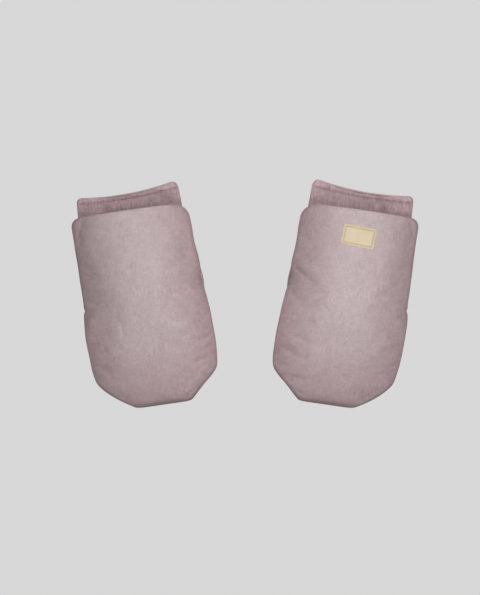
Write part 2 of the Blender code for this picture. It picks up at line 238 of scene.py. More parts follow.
FRONT = Panel(
    "front", facing=1, length=0.225, corners=(0.0100, 0.0160), crown=0.057, mouth_crown=0.048,
    cup_height=0.140, fullness=2.6, seam_turn=math.radians(128),
)
BACK = Panel(
    "back", facing=-1, length=0.2454, corners=(0.0050, 0.0065), crown=0.034, mouth_crown=0.016,
    cup_height=0.090, fullness=2.6, seam_turn=math.radians(72),
)
SIDES = {"left": 1, "right": -1}

# Folds, each a crease from one place to another, (across, up) to (across, up), with its reach and its height.
FOLDS = {
    ("left", "front"): (
        (0.066, 0.146, 0.052, 0.139, 0.0060, -0.0006),
        (0.070, 0.131, 0.056, 0.133, 0.0060, -0.0009),
        (0.068, 0.120, 0.052, 0.117, 0.0075, 0.0005),
        (0.058, 0.030, 0.040, 0.0110, 0.0055, 0.0018),
        (0.047, 0.034, 0.024, 0.016, 0.0090, -0.0005),
    ),
    ("right", "front"): (
        (0.066, 0.1500, 0.0470, 0.1370, 0.0032, -0.0030),
        (0.060, 0.1545, 0.043, 0.1455, 0.0060, 0.0007),
        (0.064, 0.131, 0.052, 0.128, 0.0050, 0.0008),
        (0.063, 0.1165, 0.055, 0.114, 0.0064, -0.0030),
        (0.0680, 0.1345, 0.0650, 0.1335, 0.0022, -0.0016),
        (0.0705, 0.1262, 0.0682, 0.1255, 0.0020, -0.0014),
        (0.055, 0.027, 0.038, 0.0110, 0.0055, 0.0006),
    ),
    ("left", "back"): (
        (0.064, 0.140, 0.050, 0.145, 0.0060, -0.0008),
        (-0.064, 0.134, -0.052, 0.129, 0.007, -0.0008),
    ),
    ("right", "back"): (
        (0.064, 0.136, 0.050, 0.131, 0.0060, -0.0009),
        (-0.063, 0.138, -0.050, 0.144, 0.007, -0.0007),
    ),
}

# Soft swells and finer ripples of the cloth: how high they are, and how many to the metre across and up.
SWELLS = (0.00062, 24, 19)
RIPPLES = (0.0003, 70, 55)


def off_crease(across, up, crease):
    """How far a place is from a crease's line."""
    start, end, here = Vector(crease[0:2]), Vector(crease[2:4]), Vector((across, up))
    share = (here - start).dot(end - start) / (end - start).length_squared
    return (here - start.lerp(end, min(max(share, 0), 1))).length


def fold_height(muff, panel, across, up):
    """How far the folds, swells and ripples lift the cloth at a place."""
    creases = FOLDS[muff, panel.name]
    total = sum(crease[5] * hump(off_crease(across, up, crease), crease[4]) for crease in creases)
    seed = 3.1 * SIDES[muff] + 7.7 * panel.facing
    for (height, across_rate, up_rate), start in ((SWELLS, seed), (RIPPLES, seed + 20)):
        total += height * noise.noise(Vector((across * across_rate, up * up_rate, start)))
    return total


# How far a muff's outline strays from the pattern, away from the other muff, low down and at its waist.
LOW_DRIFT_UP = 0.014
LOW_DRIFT_INNER = 0.0030
LOW_DRIFT_INNER_REACH = 0.013
LOW_DRIFT_OUTER = {"left": 0.0016, "right": 0.0026}
LOW_DRIFT_OUTER_REACH = 0.015
WAIST_DRIFT = {"left": 0, "right": 0.0015}
WAIST_UP = 0.122
WAIST_REACH = 0.048


def muff_shift(muff, share, up):
    """How the sewer's hand moved one muff's outline from the pattern, both panels and gusset together."""
    drift = -LOW_DRIFT_INNER * max(share, 0) ** 3 * hump(up - LOW_DRIFT_UP, LOW_DRIFT_INNER_REACH)
    drift += LOW_DRIFT_OUTER[muff] * min(share, 0) ** 3 * hump(up - LOW_DRIFT_UP, LOW_DRIFT_OUTER_REACH)
    return drift - WAIST_DRIFT[muff] * hump(up - WAIST_UP, WAIST_REACH)


# Where a panel's side is gathered, inner by the other muff: how far in, how high up, and its reach.
GATHERS = {
    ("left", "front", "inner"): ((0.0032, 0.137, 0.0090), (0.0016, 0.130, 0.0022)),
    ("right", "front", "inner"): ((0.0032, 0.141, 0.0090), (0.0016, 0.130, 0.0022)),
    ("left", "front", "outer"): ((0.0018, 0.119, 0.0022),),
    ("right", "front", "outer"): ((0.0018, 0.119, 0.0022),),
    ("left", "back", "inner"): ((-0.0020, 0.136, 0.014),),
    ("right", "back", "inner"): ((-0.0020, 0.136, 0.014),),
}
SIDE_WANDER = 0.0007
SIDE_WANDER_RATE = 38
SIDE_FREE = (SLOT_BOTTOM - 0.005, SLOT_BOTTOM + 0.025)
COLLAR_DRAWN_IN = 0.0010


def side_shift(muff, panel, share, up):
    """How far the side is drawn in or out beside the studs and the slot's ends."""
    seed = 1.7 * SIDES[muff] + 4.3 * panel.facing
    free = smooth(share_between(up, *SIDE_FREE))
    place = Vector((up * SIDE_WANDER_RATE, math.copysign(3, share), seed))
    shift = SIDE_WANDER * free * noise.noise(place)
    for drawn_in, height, reach in GATHERS.get((muff, panel.name, "inner" if share > 0 else "outer"), ()):
        shift -= drawn_in * hump(up - height, reach)
    shift = math.copysign(shift, share * shift) * abs(share) ** 7 + muff_shift(muff, share, up)
    if panel.name == "back":
        shift -= COLLAR_DRAWN_IN * share_between(up, SHOULDER_LOW, SHOULDER_HIGH)
    return shift


@cache
def faces_at(panel, row, column, inset):
    """Share of the half width, across, up, outer height, its slant and inner height of a grid point."""
    share, across, up = panel.spot(row, column, inset)
    return share, across, up, panel.outer(across, up), panel.slant(across, up), panel.inner(across, up)


@cache
def moved_at(muff, panel, row, column):
    """How the folds lift a grid point, and how its side is drawn in."""
    share, across, up = panel.spot(row, column, RIM_RADIUS)
    return fold_height(muff, panel, across, up), side_shift(muff, panel, share, up)


# The inner face shows this share of a fold or puff, and less of a fold near its edges.
INNER_SHARE = 0.6
INNER_FOLD_EDGES = (0.12, 0.3)
RIM_SIDE = math.pi / 2 + 0.001
INNER_FACE = math.pi - 0.001


def formed(muff, panel, row, column, turn, depth):
    """Where a layer's point lies. Turn goes round the rim, 0 on the outer face, pi on the inner face."""
    inset = round(RIM_RADIUS - (RIM_RADIUS - depth) * math.sin(turn), 7)
    share, across, up, outer, slant, inner = faces_at(panel, row, column, inset)
    fold, shift = moved_at(muff, panel, row, column)
    cosine = math.cos(turn)
    if turn < RIM_SIDE:
        height = outer - RIM_RADIUS * (1 - cosine) + (fold - depth * slant) * cosine
    elif turn < INNER_FACE:
        # Known fault: at the pocket's mouth this should end at the inner face's height, not at the seat's.
        height = SEAT + SLOT_LIFT * slot_bulge(up) + RIM_RADIUS * (1 + cosine) - depth * cosine
        height += (outer - panel.rim(up)) * (1 + cosine)
    else:
        kept = smooth(share_between(1 - abs(share), *INNER_FOLD_EDGES))
        height = inner + depth * math.sqrt(slant) + INNER_SHARE * fold * kept
    return Vector((across + shift, height, up + panel.rise(muff, share, up)))


def turned(vector, muff, panel):
    """From across, height and up to the muff's own axes."""
    return Vector((SIDES[muff] * vector.x, -panel.facing * vector.y, vector.z))


def in_pair(muff):
    """From a muff's own axes to its place in the pair."""
    side = SIDES[muff]
    tilt = Matrix.Rotation(-side * MUFF_TILT, 4, "Y")
    return Matrix.Translation((-side * MUFF_BOTTOM_X, 0, -MUFF_BOTTOM_Z)) @ tilt


def cut_grid(panel):
    """A flat grid in a new bmesh, whose points know their row and column in the panel."""
    bm = bmesh.new()
    layers = bm.verts.layers
    row, column = layers.int.new("row"), layers.int.new("column")
    layers.float.new("turn"), layers.float.new("depth")
    bmesh.ops.create_grid(bm, x_segments=COLUMNS, y_segments=panel.rows, size=1)
    for vert in bm.verts:
        vert[row] = round((vert.co.y + 1) / 2 * panel.rows)
        vert[column] = round((vert.co.x + 1) / 2 * COLUMNS)
    return bm


def set_layer(verts, layer, value):
    for vert in verts:
        vert[layer] = value


def verts_of(made):
    return [item for item in made["geom"] if isinstance(item, bmesh.types.BMVert)]


def turn_rim(bm, turns):
    """Adds a row of faces round the sheet's edge for each turn."""
    layer = bm.verts.layers.float["turn"]
    for turn in turns:
        edges = [edge for edge in bm.edges if edge.is_boundary]
        set_layer(verts_of(bmesh.ops.extrude_edge_only(bm, edges=edges)), layer, turn)


def thicken(bm, depth, turn=None):
    """Gives the sheet a second face at this depth, joined to it all round."""
    layers = bm.verts.layers.float
    copy = verts_of(bmesh.ops.extrude_face_region(bm, geom=bm.faces[:], use_keep_orig=True))
    set_layer(copy, layers["depth"], depth)
    if turn is not None:
        set_layer(copy, layers["turn"], turn)


def form(bm, muff, panel, puff):
    """Puts each point of a layer in its place in the muff, with the puff of the panel added."""
    ints, floats = bm.verts.layers.int, bm.verts.layers.float
    cut = bm.loops.layers.uv.new("cut")
    flat = {}
    for vert in bm.verts:
        row, column = vert[ints["row"]], vert[ints["column"]]
        turn, depth = vert[floats["turn"]], vert[floats["depth"]]
        place = formed(muff, panel, row, column, turn, depth)
        place += puff[row][column] * (1 if turn < 1 else INNER_SHARE)
        vert.co = turned(place, muff, panel)
        away = RIM_RADIUS * (1 - min(turn, math.pi - turn))
        flat[vert] = panel.spot(row, column, away)[1:]
    for face in bm.faces:
        for loop in face.loops:
            loop[cut].uv = flat[loop.vert]


def piece(name, bm, place, material, levels=0):
    """An object at the origin, with its place in its mesh."""
    bmesh.ops.transform(bm, matrix=place, verts=bm.verts)
    bmesh.ops.recalc_face_normals(bm, faces=bm.faces)
    mesh = bpy.data.meshes.new(name)
    bm.to_mesh(mesh)
    bm.free()
    mesh.shade_smooth()
    mesh.materials.append(material)
    obj = bpy.data.objects.new(name, mesh)
    bpy.context.scene.collection.objects.link(obj)
    if levels:
        surface = obj.modifiers.new("surface", "SUBSURF")
        surface.levels = surface.render_levels = levels
    return obj


PUFF_FRAMES = 20
PUFF_LIMIT = 0.0030


def slack(panel):
    """No puff at all, for each point of the panel's grid."""
    return [[Vector() for _ in range(COLUMNS + 1)] for _ in range(panel.rows + 1)]


def puffed(muff, panel):
    """How far the stuffed panel's cloth moves from its cut form, sewn down all round its edge."""
    moves = slack(panel)
    bm = cut_grid(panel)
    form(bm, muff, panel, moves)
    bm.verts.ensure_lookup_table()
    ints = bm.verts.layers.int
    keys = [(vert[ints["row"]], vert[ints["column"]]) for vert in bm.verts]
    rest = [vert.co.copy() for vert in bm.verts]
    seam = [vert.index for vert in bm.verts if vert.is_boundary]
    mesh = bpy.data.meshes.new("puffing")
    bm.normal_update()
    if sum(face.normal.y for face in bm.faces) * panel.facing > 0:
        bmesh.ops.reverse_faces(bm, faces=bm.faces)
    bm.to_mesh(mesh)
    bm.free()
    sheet = bpy.data.objects.new("puffing", mesh)
    bpy.context.scene.collection.objects.link(sheet)
    group = sheet.vertex_groups.new(name="seam")
    group.add(seam, 1, "REPLACE")
    cloth = sheet.modifiers.new("puff", "CLOTH")
    settings = cloth.settings
    settings.quality = 5
    settings.mass = 0.15
    settings.tension_stiffness = settings.compression_stiffness = 25
    settings.shear_stiffness = 8
    settings.bending_stiffness = 0.6
    settings.vertex_group_mass = "seam"
    settings.shrink_min = -0.018
    settings.use_pressure = True
    settings.uniform_pressure_force = 4
    settings.effector_weights.gravity = 0
    cloth.collision_settings.use_collision = False
    scene = bpy.context.scene
    for frame_number in range(1, PUFF_FRAMES + 1):
        scene.frame_set(frame_number)
    settled = sheet.evaluated_get(bpy.context.evaluated_depsgraph_get()).data
    for (row, column), start, vert in zip(keys, rest, settled.vertices):
        move = vert.co - start
        move *= PUFF_LIMIT / (PUFF_LIMIT + move.length)
        moves[row][column] = Vector((SIDES[muff] * move.x, -panel.facing * move.y, move.z))
    bpy.data.objects.remove(sheet)
    scene.frame_set(1)
    return moves


PUFF = {(muff, panel.name): puffed(muff, panel) for muff in SIDES for panel in (FRONT, BACK)}


class Pattern:
    """A number or colour that varies over a surface. Arithmetic on patterns adds the nodes for it."""

    def __init__(self, finish, socket):
        self.finish, self.socket = finish, socket

    def math(self, operation, *terms):
        return self.finish.node("Math", {"operation": operation}, dict(enumerate(terms)))

    def __add__(self, other):
        return self.math("ADD", self, other)

    def __sub__(self, other):
        return self.math("SUBTRACT", self, other)

    def __rsub__(self, other):
        return self.math("SUBTRACT", other, self)

    def __mul__(self, other):
        return self.math("MULTIPLY", self, other)

    __radd__ = __add__
    __rmul__ = __mul__

    def held(self):
        """The same pattern, kept from 0 to 1."""
        return self.math("MINIMUM", self.math("MAXIMUM", self, 0), 1)


class Finish:
    """A material. Constants are set on its shader's sockets, and patterns are linked to them."""

    def __init__(self, name, **constants):
        self.material = bpy.data.materials.new(name)
        self.material.use_nodes = True
        self.tree = self.material.node_tree
        self.shader = self.tree.nodes["Principled BSDF"]
        for socket, value in constants.items():
            self.shader.inputs[socket.replace("_", " ")].default_value = value

    def node(self, kind, settings, inputs, output=0):
        made = self.tree.nodes.new("ShaderNode" + kind)
        for setting, value in settings.items():
            setattr(made, setting, value)
        for socket, value in inputs.items():
            self.feed(made.inputs[socket], value)
        return Pattern(self, made.outputs[output])

    def feed(self, socket, value):
        if isinstance(value, Pattern):
            self.tree.links.new(value.socket, socket)
        else:
            socket.default_value = value

    def grain(self, coordinates, scale, detail=2, stretch=(1, 1, 1)):
        """Noise from 0 to 1, its scale in grains to the metre."""
        sized = self.node("Mapping", {}, {"Vector": coordinates, "Scale": stretch})
        return self.node("TexNoise", {}, {"Vector": sized, "Scale": scale, "Detail": detail}, "Fac")

    def tint(self, share, first, second):
        return self.node("Mix", {"data_type": "RGBA"}, {0: share, 6: first, 7: second}, 2)

    def dress(self, colour, roughness, height, relief):
        """Links the colour, the roughness and a bump as deep as relief."""
        self.feed(self.shader.inputs["Base Color"], colour)
        self.feed(self.shader.inputs["Roughness"], roughness)
        bump = self.node("Bump", {}, {"Strength": 1, "Distance": relief, "Height": height}, "Normal")
        self.feed(self.shader.inputs["Normal"], bump)
        return self.material


def batting():
    finish = Finish("batting", Sheen_Weight=0.4, Sheen_Roughness=0.6)
    place = finish.node("TexCoord", {}, {}, "Object")
    fibres = finish.grain(place, 900, 4, (1, 1, 0.25))
    clumps = finish.grain(place, 90, 3)
    colour = finish.tint((0.6 * fibres + 0.4 * clumps).held(), (0.62, 0.61, 0.58, 1), (0.88, 0.87, 0.84, 1))
    return finish.dress(colour, 0.9 + 0.1 * fibres, fibres + 2 * clumps, 0.0005)


BATTING = batting()

for muff in SIDES:
    for panel in (FRONT, BACK):
        bm = cut_grid(panel)
        set_layer(bm.verts, bm.verts.layers.float["depth"], SHELL_THICKNESS + LAYER_GAP)
        thicken(bm, LINING_THICKNESS + LAYER_GAP, math.pi)
        form(bm, muff, panel, PUFF[muff, panel.name])
        pad = piece(f"{muff}_{panel.name}_batting", bm, in_pair(muff), BATTING)
        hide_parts(f"{muff}_{panel.name}_wadding")


# Lining: short mauve plush, cut to the panel and sewn to its cover just inside the rim. On the back panel it
# faces forwards above the front panel's edge, as a collar with a hem turned and topstitched along its top.
HEM_DEPTH = 0.0056
HEM_LINE_GAP = 0.0004
HEM_FALL = 0.0010
HEM_STAND = 0.0009
HEM_GROOVE = 0.0009
HEM_GROOVE_REACH = 0.0011
HEM_GROOVE_SHADE = 0.5
HEM_RIM_PAINTED_HIGHLIGHT = 1.8
HEM_RIM_ROWS = 3
TUFTS = (0.00022, 210, 150)
LINING_STEPS = 8
SEAM_OVERLAP = 0.05
POCKET_SHADE_ABOVE = 0.0070
POCKET_SHADE_RUN = 0.0055


def plush():
    finish = Finish("plush", Sheen_Weight=0.15, Sheen_Roughness=0.5, Sheen_Tint=(0.86, 0.72, 0.75, 1))
    cut = finish.node("UVMap", {"uv_map": "cut"}, {})
    place = finish.node("TexCoord", {}, {}, "Object")
    ribs = finish.grain(cut, 760, 2, (1, 0.14, 1))
    rows = finish.grain(cut, 620, 2, (0.22, 1, 1))
    pile = finish.grain(place, 1500, 3)
    patches = finish.grain(place, 95, 4)
    share = 0.5 + 1.0 * (ribs - 0.5) + 0.65 * (rows - 0.5) + 0.5 * (pile - 0.5) + 0.85 * (patches - 0.5)
    # The hem strip is lighter, with painted shade in its stitch groove and a painted highlight along the
    # collar's top rim.
    hem = finish.node("Attribute", {"attribute_name": "hem"}, {}, "Fac")
    # Painted shade: the plush is darker just above the front panel's edge, at the pocket's mouth.
    pocket = finish.node("Attribute", {"attribute_name": "pocket"}, {}, "Fac")
    share = (share + 0.25 * hem - 0.15 * pocket).held()
    colour = finish.tint(share, (0.256, 0.168, 0.180, 1), (0.600, 0.442, 0.462, 1))
    return finish.dress(colour, 0.86 + 0.12 * pile, 0.9 * ribs + 0.4 * rows + 0.8 * pile, 0.0005)


PLUSH = plush()


def press_hem(bm, panel, muff):
    """Raises the hem and presses its stitch line in. Tells the finish to lighten the hem strip, paint shade
    in the stitch groove and at the pocket's mouth, and paint a highlight along the top rim.
    """
    ints, floats = bm.verts.layers.int, bm.verts.layers.float
    hem, pocket = floats.new("hem"), floats.new("pocket")
    for vert in bm.verts:
        row = vert[ints["row"]]
        across, up = panel.spot(row, vert[ints["column"]], RIM_RADIUS)[1:]
        # Painted shade at the pocket's mouth, just above the front panel's edge.
        vert[pocket] = smooth(share_between(FRONT.length + POCKET_SHADE_ABOVE - up, 0, POCKET_SHADE_RUN))
        if vert[floats["depth"]] > 0 or vert[floats["turn"]] < INNER_FACE:
            # Painted highlight along the collar's top rim.
            vert[hem] = HEM_RIM_PAINTED_HIGHLIGHT if row > panel.rows - HEM_RIM_ROWS else 0
            continue
        below = panel.length - up
        on_hem = 1 - smooth(share_between(below, HEM_DEPTH - HEM_LINE_GAP, HEM_DEPTH + HEM_FALL))
        # Painted shade in the stitch groove, which is also pressed into the cloth.
        groove = hump(below - HEM_DEPTH - HEM_LINE_GAP, HEM_GROOVE_REACH)
        vert[hem] = on_hem - HEM_GROOVE_SHADE * groove
        vert.co.y += panel.facing * (HEM_STAND * on_hem - HEM_GROOVE * groove)
        height, across_rate, up_rate = TUFTS
        tuft = Vector((across * across_rate, up * up_rate, 9.0 * SIDES[muff] + panel.facing))
        vert.co.y += panel.facing * height * noise.noise(tuft)


LININGS = {}
for muff in SIDES:
    for panel in (FRONT, BACK):
        bm = cut_grid(panel)
        set_layer(bm.verts, bm.verts.layers.float["turn"], math.pi)
        start = panel.seam_turn + SEAM_OVERLAP
        turn_rim(bm, [mix(math.pi, start, step / LINING_STEPS) for step in range(1, LINING_STEPS + 1)])
        thicken(bm, LINING_THICKNESS)
        form(bm, muff, panel, PUFF[muff, panel.name])
        press_hem(bm, panel, muff)
        name = f"{muff}_{panel.name}_lining"
        lining = piece(name + "_plush", bm, in_pair(muff), PLUSH, 1)
        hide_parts(name)
        LININGS[muff, panel.name] = lining


# Shell: faux nubuck with a faint weave, cut larger than the wadding, turned round its rim and sewn to the
# lining. It is soft and mottled. A painted sheen makes its crown paler and greyer, and painted shade
# darkens it at its seams, along its rims and beside the slots.
SHELL_STEPS = 9
BOTTOM_SHADE = 1.1
BOTTOM_SHADE_ROWS = 2.1
CLIP_SHADE = 0.8
SIDE_SHADE = 0.45
SLOT_SHADE = 0.56
SLOT_SHADE_START = 0.3
OUTER_FACE_SHADE = 0.75
PAINTED_SHEEN_POWER = 2.2
PAINTED_SHEEN_UPS = (-0.01, 0.09)


def nubuck():
    finish = Finish("nubuck", Specular_IOR_Level=0.6, Sheen_Weight=0.04, Sheen_Roughness=0.5)
    cut = finish.node("UVMap", {"uv_map": "cut"}, {})
    place = finish.node("TexCoord", {}, {}, "Object")
    warp = finish.grain(cut, 900, 2, (1, 0.16, 1))
    weft = finish.grain(cut, 900, 2, (0.16, 1, 1))
    nap = finish.grain(place, 2600, 3)
    smudges = finish.grain(place, 42, 5)
    clouds = finish.grain(place, 13, 3)
    mottle = finish.grain(cut, 330, 4)
    rubs = finish.grain(cut, 120, 3)
    ribs = finish.grain(cut, 430, 1, (1, 0.12, 1))
    brushed = ((finish.grain(place, 50, 2) - 0.5) * 6).held()
    weave = 0.5 * (warp + weft)
    share = 0.5 + 1.1 * (weave - 0.5) + 0.6 * (mottle - 0.5) + 0.5 * (nap - 0.5)
    share = share + 0.55 * (rubs - 0.5) + 0.5 * (smudges - 0.5) + 0.3 * (clouds - 0.5)
    share = share + 0.9 * brushed * (ribs - 0.5)
    # Painted sheen: the cover's crown is tinted paler and greyer, as a broad gloss would light it.
    painted_sheen = finish.node("Attribute", {"attribute_name": "painted_sheen"}, {}, "Fac")
    dark = finish.tint(painted_sheen, (0.385, 0.268, 0.280, 1), (0.382, 0.294, 0.300, 1))
    light = finish.tint(painted_sheen, (0.600, 0.440, 0.454, 1), (0.596, 0.484, 0.490, 1))
    # Painted shade: the cover is darkened towards plum at its bottom seam, clipped corners, side edges, rims
    # and beside the slots.
    painted_shade = finish.node("Attribute", {"attribute_name": "painted_shade"}, {}, "Fac")
    colour = finish.tint(0.6 * painted_shade, finish.tint(share.held(), dark, light), (0.190, 0.098, 0.115, 1))
    return finish.dress(colour, 0.60 + 0.08 * smudges, weave + 0.4 * mottle + 0.4 * nap, 0.0005)


def paint_shade_and_sheen(bm, panel):
    """Tells the finish where shade is painted on the cover, at seams, rims and beside the slots, and where a
    sheen is painted on its crown.
    """
    ints, floats = bm.verts.layers.int, bm.verts.layers.float
    painted_shade, painted_sheen = floats.new("painted_shade"), floats.new("painted_sheen")
    for vert in bm.verts:
        row, column = vert[ints["row"]], vert[ints["column"]]
        share, _, up = panel.spot(row, column, RIM_RADIUS)
        # Painted sheen, strongest on the crown and fading out towards the sides and the bottom.
        vert[painted_sheen] = (1 - abs(share) ** PAINTED_SHEEN_POWER) * smooth(share_between(up, *PAINTED_SHEEN_UPS))
        # Painted shade at the side edges, the bottom seam, the clipped corners and beside the slots, deeper
        # round the rim.
        at_side = max(1 - min(column, COLUMNS - column), 0)
        shades = [SIDE_SHADE * at_side]
        if row <= CLIP_ROWS:
            shades += [max(BOTTOM_SHADE - row / BOTTOM_SHADE_ROWS, 0), CLIP_SHADE * at_side]
        if panel.name == "front":
            towards_side = smooth(share_between(abs(share), SLOT_SHADE_START, 1))
            shades.append(SLOT_SHADE * slot_bulge(up) * towards_side)
        on_rim = smooth(share_between(vert[floats["turn"]], 0, 1))
        vert[painted_shade] = max(shades) * (OUTER_FACE_SHADE + (1 - OUTER_FACE_SHADE) * on_rim)


NUBUCK = nubuck()
SHELLS = {}
for muff in SIDES:
    for panel in (FRONT, BACK):
        bm = cut_grid(panel)
        turn_rim(bm, [panel.seam_turn * step / SHELL_STEPS for step in range(1, SHELL_STEPS + 1)])
        thicken(bm, SHELL_THICKNESS)
        form(bm, muff, panel, PUFF[muff, panel.name])
        paint_shade_and_sheen(bm, panel)
        name = f"{muff}_{panel.name}_shell"
        shell = piece(name + "_nubuck", bm, in_pair(muff), NUBUCK, 1)
        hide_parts(name)
        SHELLS[muff, panel.name] = shell


# Bottom gusset: a strip of the same nubuck, sewn between the panels' rims round the bottom edge and both
# clipped corners of each muff. It bulges a little between its two seams, and painted shade darkens it all
# over.
GUSSET_THICKNESS = 0.0012
GUSSET_HALF = 0.0037
GUSSET_SEAM_INSET = 0.0004
GUSSET_BULGE = 0.0009
GUSSET_STEPS = 10
GUSSET_STEP_ALONG = 0.0022
GUSSET_STEP_ACROSS = 0.0009

GUSSET_COURSE = [(row, 0) for row in range(CLIP_ROWS, 0, -1)]
GUSSET_COURSE += [(0, column) for column in range(COLUMNS + 1)]
GUSSET_COURSE += [(row, COLUMNS) for row in range(1, CLIP_ROWS + 1)]


def gusset_place(muff, row, column, share, depth):
    """A point of the gusset beside this edge point of the panels. Share is -1 at the back, 1 at the front."""
    inset = GUSSET_SEAM_INSET + depth - GUSSET_BULGE * (1 - share**2)
    side, front_across, up = FRONT.spot(row, column, inset)
    across = mix(BACK.spot(row, column, inset)[1], front_across, (share + 1) / 2)
    return Vector((across + muff_shift(muff, side, up), GUSSET_HALF * share, up))


for muff in SIDES:
    bm = bmesh.new()
    edge_step, across_step = bm.verts.layers.int.new("edge step"), bm.verts.layers.int.new("across step")
    last = len(GUSSET_COURSE) - 1
    bmesh.ops.create_grid(bm, x_segments=last, y_segments=GUSSET_STEPS, size=1)
    for vert in bm.verts:
        vert[edge_step] = round((vert.co.x + 1) / 2 * last)
        vert[across_step] = round((vert.co.y + 1) / 2 * GUSSET_STEPS)
    under = set(bm.verts)
    bmesh.ops.extrude_face_region(bm, geom=bm.faces[:], use_keep_orig=True)
    cut = bm.loops.layers.uv.new("cut")
    # The whole gusset carries full painted shade.
    set_layer(bm.verts, bm.verts.layers.float.new("painted_shade"), 1)
    for vert in bm.verts:
        row, column = GUSSET_COURSE[vert[edge_step]]
        share = 2 * vert[across_step] / GUSSET_STEPS - 1
        depth = GUSSET_THICKNESS if vert in under else 0
        vert.co = turned(gusset_place(muff, row, column, share, depth), muff, FRONT)
    for face in bm.faces:
        for loop in face.loops:
            along, over = loop.vert[edge_step], loop.vert[across_step]
            loop[cut].uv = (GUSSET_STEP_ALONG * along, GUSSET_STEP_ACROSS * over)
    name = f"{muff}_bottom_gusset"
    gusset = piece(name + "_nubuck", bm, in_pair(muff), NUBUCK, 1)
    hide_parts(name)


# Hem stitches: mauve thread through the turned hem of each collar, one row of short stitches half sunk in the
# cloth. The row shows on the plush and again on the cover behind it.
HEM_STITCH = 0.0029
HEM_STITCH_SPACING = 0.0036
THREAD_RADIUS = 0.00032
HEM_SIDE_GAP = 0.0035
HEM_COURSE_STEPS = 60


def surface_of(obj):
    return BVHTree.FromObject(obj, bpy.context.evaluated_depsgraph_get())


def seen_on(tree, place, seen_from):
    """Where a surface lies at a place, seen from the front (-1) or behind (1), and which way it faces."""
    return tree.ray_cast(Vector((place.x, seen_from, place.z)), Vector((0, -seen_from, 0)))[:2]


def spaced(course, spacing):
    """Places at even steps along a course, each with the direction there."""
    lengths = [(end - start).length for start, end in zip(course, course[1:])]
    count = round(sum(lengths) / spacing)
    found, walked, step = [], 0, 0
    for number in range(count):
        target = sum(lengths) * (number + 0.5) / count
        while walked + lengths[step] < target:
            walked += lengths[step]
            step += 1
        start, end = course[step], course[step + 1]
        found.append((start.lerp(end, (target - walked) / lengths[step]), (end - start).normalized()))
    return found


def sew(tree, course, seen_from, spacing, length, radius):
    """A row of short stitches along a course, half sunk in the cloth."""
    bm = bmesh.new()
    landed = [seen_on(tree, place, seen_from)[0] for place in course]
    for place, along in spaced(landed, spacing):
        middle, out = seen_on(tree, place, seen_from)
        across = out.cross(along).normalized()
        axes = Matrix((across.cross(out), across, out)).transposed().to_4x4()
        stitch = Matrix.Translation(middle) @ axes @ Matrix.Diagonal((length / 2, radius, radius, 1))
        bmesh.ops.create_uvsphere(bm, u_segments=8, v_segments=4, radius=1, matrix=stitch)
    return bm


def thread(name, dark, light):
    finish = Finish(name, Sheen_Weight=0.2, Sheen_Roughness=0.4)
    place = finish.node("TexCoord", {}, {}, "Object")
    twist = finish.grain(place, 2600, 2)
    return finish.dress(finish.tint(twist, dark, light), 0.6 + 0.2 * twist, twist, 0.0001)


MAUVE_THREAD = thread("mauve thread", (0.19, 0.12, 0.135, 1), (0.30, 0.20, 0.22, 1))
for muff, side in SIDES.items():
    course = []
    up = BACK.length - HEM_DEPTH - HEM_LINE_GAP
    for step in range(HEM_COURSE_STEPS + 1):
        share = 2 * step / HEM_COURSE_STEPS - 1
        across = BACK.middle(up) + share * (BACK.side_half(up) - HEM_SIDE_GAP) + muff_shift(muff, share, up)
        course.append(in_pair(muff) @ Vector((side * across, 0, up + BACK.rise(muff, share, up))))
    for where, cloth, seen_from in (("plush", LININGS, -1), ("cover", SHELLS, 1)):
        tree = surface_of(cloth[muff, "back"])
        bm = sew(tree, course, seen_from, HEM_STITCH_SPACING, HEM_STITCH, THREAD_RADIUS)
        row = piece(f"{muff}_hem_stitches_{where}", bm, Matrix(), MAUVE_THREAD)
        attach(row, f"{muff}_back")


# Label patch: cream faux leather, left bare, on the right front cover. A row of tan stitches runs round it,
# pressed a little into the patch.
LABEL_WIDTH = 0.0378
LABEL_HEIGHT = 0.0234
LABEL_THICKNESS = 0.0009
LABEL_CORNER = 0.0028
LABEL_ACROSS = -0.0012
LABEL_UP = 0.1943
LABEL_TURN = math.radians(3)
LABEL_GRID = (56, 36)
LABEL_EDGE = (-0.0001, 0.0006)
BORDER_INSET = 0.0025
BORDER_PRESS = 0.00040
BORDER_REACH = 0.0008
BORDER_STITCH = 0.0021
BORDER_SPACING = 0.0027
BORDER_THREAD = 0.00036
CORNER_STEPS = 4


def past_corners(x, y):
    """How far out a place on the patch lies from the centres its corners are round about."""
    return Vector((abs(x) - LABEL_WIDTH / 2 + LABEL_CORNER, abs(y) - LABEL_HEIGHT / 2 + LABEL_CORNER))


def rounded_in(x, y):
    """Draws a place on the patch in at its corners, so that they are round."""
    beyond = past_corners(x, y)
    if min(beyond) <= 0:
        return Vector((x, y))
    drawn = beyond * (max(beyond) / beyond.length) - beyond
    return Vector((x + math.copysign(drawn.x, drawn.x * x), y + math.copysign(drawn.y, drawn.y * y)))


def from_edge(flat):
    """How far a place on the patch lies inside its outline."""
    beyond = past_corners(flat.x, flat.y)
    outside = Vector((max(beyond.x, 0), max(beyond.y, 0))).length
    return LABEL_CORNER - outside - min(max(beyond), 0)


def on_cover(flat):
    """A place on the patch, moved to the right muff's front."""
    across, up = Matrix.Rotation(LABEL_TURN, 2) @ flat + Vector((LABEL_ACROSS, LABEL_UP))
    return in_pair("right") @ Vector((-across, 0, up))


